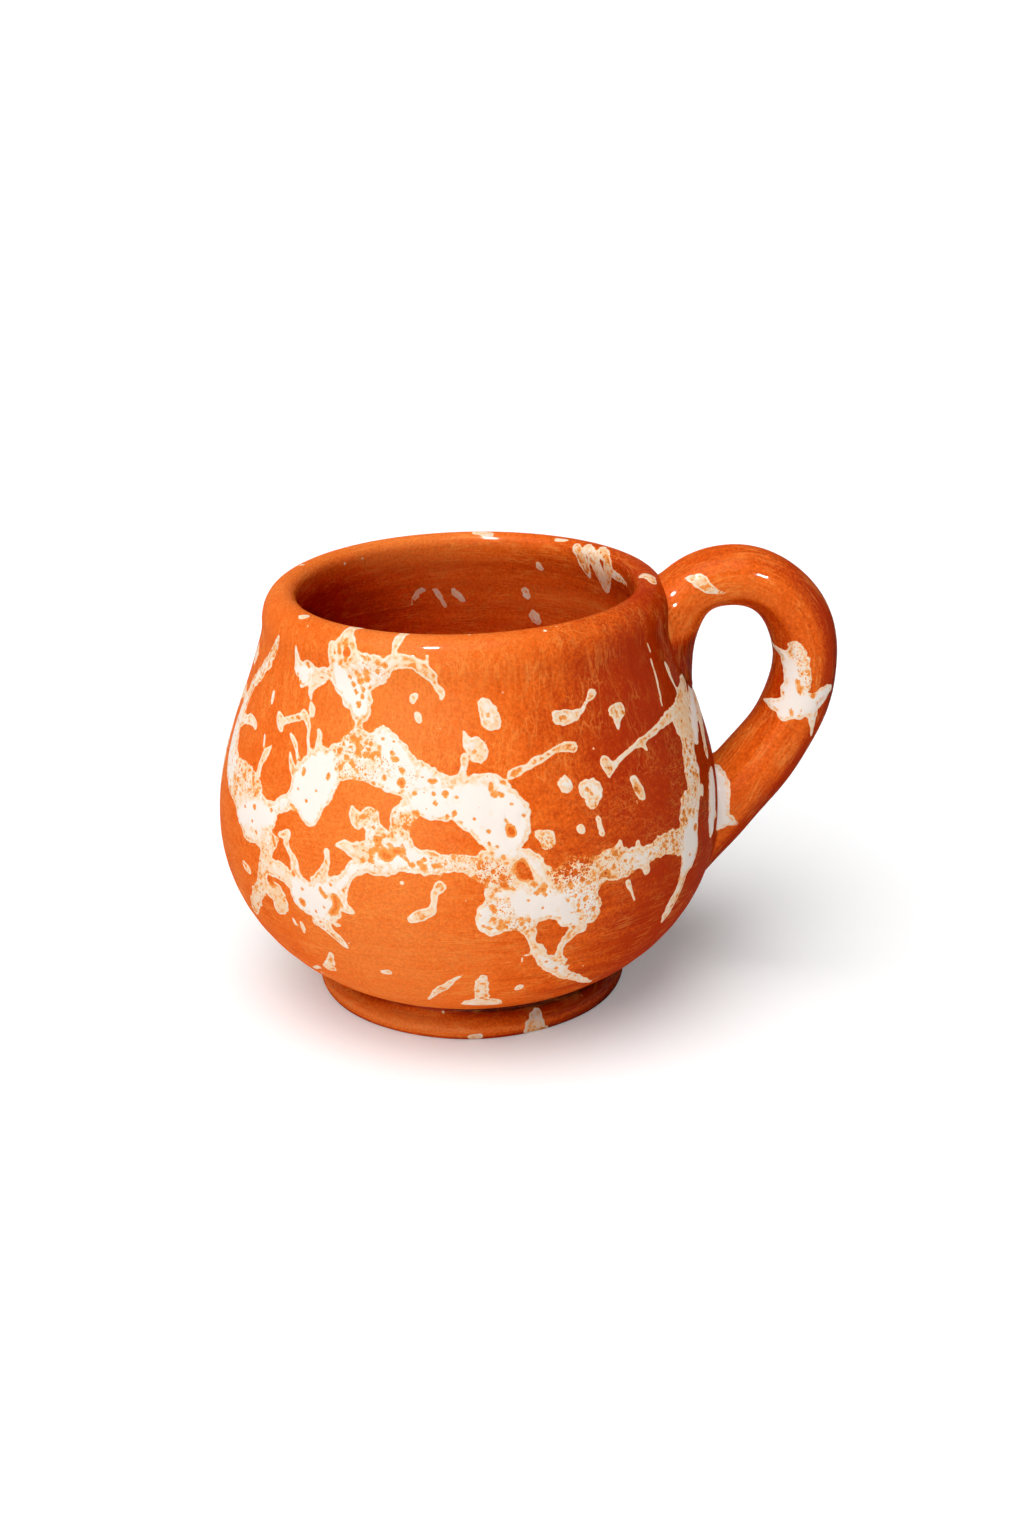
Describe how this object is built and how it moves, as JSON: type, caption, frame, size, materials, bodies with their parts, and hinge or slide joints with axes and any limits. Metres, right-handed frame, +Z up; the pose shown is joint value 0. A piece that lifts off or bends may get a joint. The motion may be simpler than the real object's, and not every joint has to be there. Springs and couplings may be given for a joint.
{
  "type": "espresso cup",
  "caption": "Round-bellied handmade clay espresso cup with a rolled lip, a coil handle and a low flared foot, glazed orange-brown over splashed white slip.",
  "frame": {"origin": "on the table, under the middle of the whole footprint, cup and handle together", "axes": "+X from the bowl towards the handle, +Y across the handle's loop, +Z up through the mouth"},
  "size_m": [0.0956, 0.0774, 0.0692],
  "materials": {
    "glazed_clay": "clear glossy glaze over red earthenware, with splashed white slip under the glaze",
    "luting_slip": "fired slip, dull"
  },
  "bodies": {
    "root": {"cup_body": "glazed_clay", "foot_ring": "glazed_clay", "handle": "glazed_clay", "foot_luting": "luting_slip", "handle_root_luting": "luting_slip", "handle_heel_luting": "luting_slip"}
  },
  "joints": []
}
